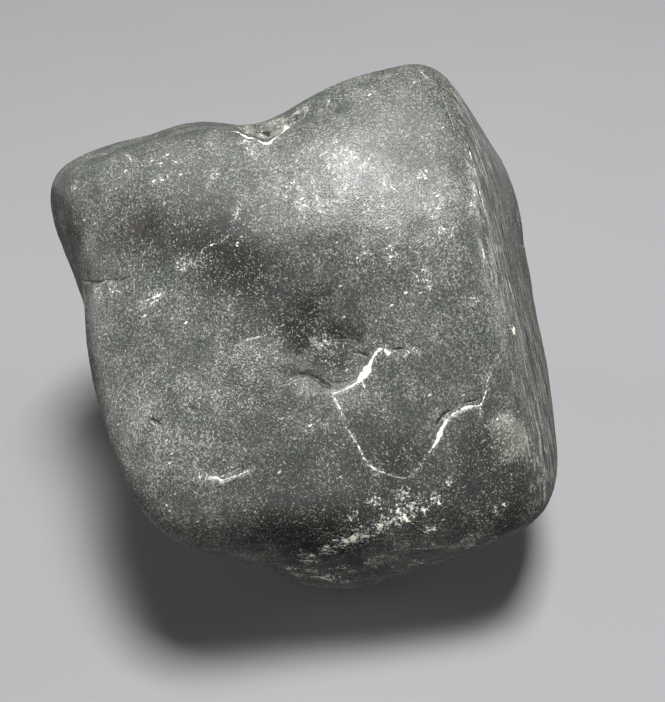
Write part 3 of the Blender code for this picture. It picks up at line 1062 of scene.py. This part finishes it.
def streaked(paint, colour, fine):
    """The colour with the ridge's light and dark streaks over it."""
    streaky = paint.at_vertex("streaky")
    streaks = paint.noise(1.0, 4.0, 0.65, 0.5, along(paint, RIDGE_DIRECTION, STREAK_SIZE))
    light = paint.math("MULTIPLY", streaky, paint.cover("light_streak", streaks))
    low, high, left = STREAK_GAPS
    light = paint.math("MULTIPLY", light, paint.rise(fine, low, high, left))
    colour = paint.mixed(light, colour, "light_streak")
    dark = paint.math("MULTIPLY", streaky, paint.cover("dark_streak", streaks))
    return paint.mixed(dark, colour, "dark_streak")


def frayed(paint, kind, field, ragged):
    """The cover of a vein or gap with ragged edges."""
    fray = paint.swing(ragged)
    return paint.cover(kind, paint.scaled(fray, FRAYING[kind], paint.at_vertex(field)))


def stone_colour(paint, fine, ragged, grains):
    """The full colour, where the pale minerals lie and where painted shadow fills the gaps."""
    colour = streaked(paint, grained_rock(paint, fine, ragged, grains), fine)
    colour = paint.mixed(paint.cover("rust", paint.at_vertex("rust")), colour, "rust")
    broken = paint.scaled(paint.at_vertex("rough"), BROKEN_SHARE)
    colour = paint.mixed(broken, colour, "broken")
    crumbs = paint.noise(CRUMB_SIZE * MM, 5.0, 0.85)
    crust = paint.cover("crust", paint.scaled(paint.at_vertex("crust"), SPREADS["crust"], crumbs))
    crystals = paint.mixed(paint.cover("bright_crystal", fine), "dull_crystal", "bright_crystal")
    colour = paint.mixed(crust, colour, crystals)
    cream = paint.cover("cream", paint.scaled(paint.at_vertex("cream"), SPREADS["cream"], ragged))
    colour = paint.mixed(cream, colour, "cream")
    vein = frayed(paint, "vein", "vein", ragged)
    core = frayed(paint, "vein_core", "vein", ragged)
    colour = paint.mixed(vein, colour, paint.mixed(core, "vein_edge", "vein_core"))
    # Painted shadow along the open cracks, over their cut grooves.
    gap = frayed(paint, "gap", "gap", ragged)
    pale = paint.math("MAXIMUM", paint.math("MAXIMUM", vein, cream), crust)
    return paint.mixed(gap, colour, "gap"), pale, gap


def stone_finish():
    """Dark grey-green rock with fine pale grains, veins, crust, painted shade in its hollows and
    cracks, and a worn gloss.
    """
    paint = Paint("worn_stone_fine")
    fine = paint.noise(FINE_SIZE * MM, 2.0, 0.7)
    ragged = paint.noise(RAGGED_SIZE * MM, 3.0, 0.7)
    grains = mineral_grains(paint)
    colour, pale, gap = stone_colour(paint, fine, ragged, grains)
    matt = paint.at_vertex("matt")
    broken = paint.at_vertex("rough")

    rough = paint.noise(GLOSS_SIZE * MM, 3.0)
    rough = paint.scaled(rough, ROUGHNESS["patches"], ROUGHNESS["bare"])
    rough = paint.scaled(matt, ROUGHNESS["matt"], rough)
    rough = paint.scaled(paint.at_vertex("dull"), ROUGHNESS["dull"], rough)
    rough = paint.scaled(paint.math("MAXIMUM", pale, broken), ROUGHNESS["broken"], rough)
    mirror = paint.scaled(matt, MIRROR["matt"], MIRROR["bare"])
    mirror = paint.scaled(broken, MIRROR["broken"], mirror)
    height = paint.scaled(grains, RELIEF["grains"], paint.scaled(fine, RELIEF["fine"]))
    height = paint.scaled(pale, RELIEF["pale"], height)
    height = paint.scaled(gap, RELIEF["gap"], height)
    relief = {"Height": height, "Distance": RELIEF_HEIGHT * MM, "Strength": 1.0}

    paint.feed(paint.shader.inputs["Base Color"], colour)
    paint.feed(paint.shader.inputs["Roughness"], rough)
    paint.feed(paint.shader.inputs["Specular IOR Level"], mirror)
    paint.feed(paint.shader.inputs["Normal"], paint.add("ShaderNodeBump", relief).outputs[0])
    paint.shader.inputs["IOR"].default_value = REFRACTION
    return paint.material


# The floor, light and camera


def floor_finish():
    """A pale matt board."""
    paint = Paint("pale_board")
    shade = paint.mixed(paint.noise(BOARD_SIZE * MM), "dark_board", "light_board")
    paint.feed(paint.shader.inputs["Base Color"], shade)
    paint.shader.inputs["Roughness"].default_value = BOARD_ROUGHNESS
    return paint.material


def pale_floor():
    """A wide level floor under the stone."""
    mesh = bmesh.new()
    bmesh.ops.create_grid(mesh, x_segments=1, y_segments=1, size=FLOOR_HALF_WIDTH)
    data = bpy.data.meshes.new("floor")
    mesh.to_mesh(data)
    mesh.free()
    data.materials.append(floor_finish())
    floor = bpy.data.objects.new("floor", data)
    bpy.context.scene.collection.objects.link(floor)
    return floor


def lamp(name, place, aim, size, power):
    """A square soft light at a place, aimed at another."""
    data = bpy.data.lights.new(name, "AREA")
    data.size = size
    data.energy = power
    light = bpy.data.objects.new(name, data)
    light.location = place
    light.rotation_euler = (Vector(aim) - Vector(place)).to_track_quat("-Z", "Y").to_euler()
    bpy.context.scene.collection.objects.link(light)


def studio_light():
    """One soft light overhead, weak ones at the sides and front, and a faint grey all round."""
    for name, settings in LAMPS.items():
        lamp(name, *settings)
    world = bpy.data.worlds.new("faint_grey")
    world.use_nodes = True
    background = world.node_tree.nodes["Background"]
    background.inputs["Color"].default_value = (*SURROUNDINGS, 1.0)
    background.inputs["Strength"].default_value = SURROUNDINGS_STRENGTH
    bpy.context.scene.world = world
    bpy.context.scene.view_settings.view_transform = "Standard"


def photo_camera(heart):
    """The camera at the photo's place and angle."""
    data = bpy.data.cameras.new("camera")
    data.sensor_width = SENSOR_MM
    data.lens = FOCAL_PIXELS * SENSOR_MM / max(IMAGE_WIDTH, IMAGE_HEIGHT)
    data.clip_start = NEAREST_SEEN
    camera = bpy.data.objects.new("camera", data)
    axes = Matrix((VIEW_RIGHT, VIEW_UP, VIEW_BACK)).transposed()
    camera.matrix_world = Matrix.Translation(Vector(heart + VIEW_EYE * MM)) @ axes.to_4x4()
    bpy.context.scene.collection.objects.link(camera)
    bpy.context.scene.camera = camera


def corners():
    """The shown object's lowest and highest corner, as plain lists."""
    return [list(corner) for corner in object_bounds()]


def main():
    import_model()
    stone, heart = stone_object()
    stone.data.materials.append(stone_finish())
    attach(stone, "root")
    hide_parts(NODE)
    pale_floor()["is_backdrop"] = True
    studio_light()
    photo_camera(heart)


main()
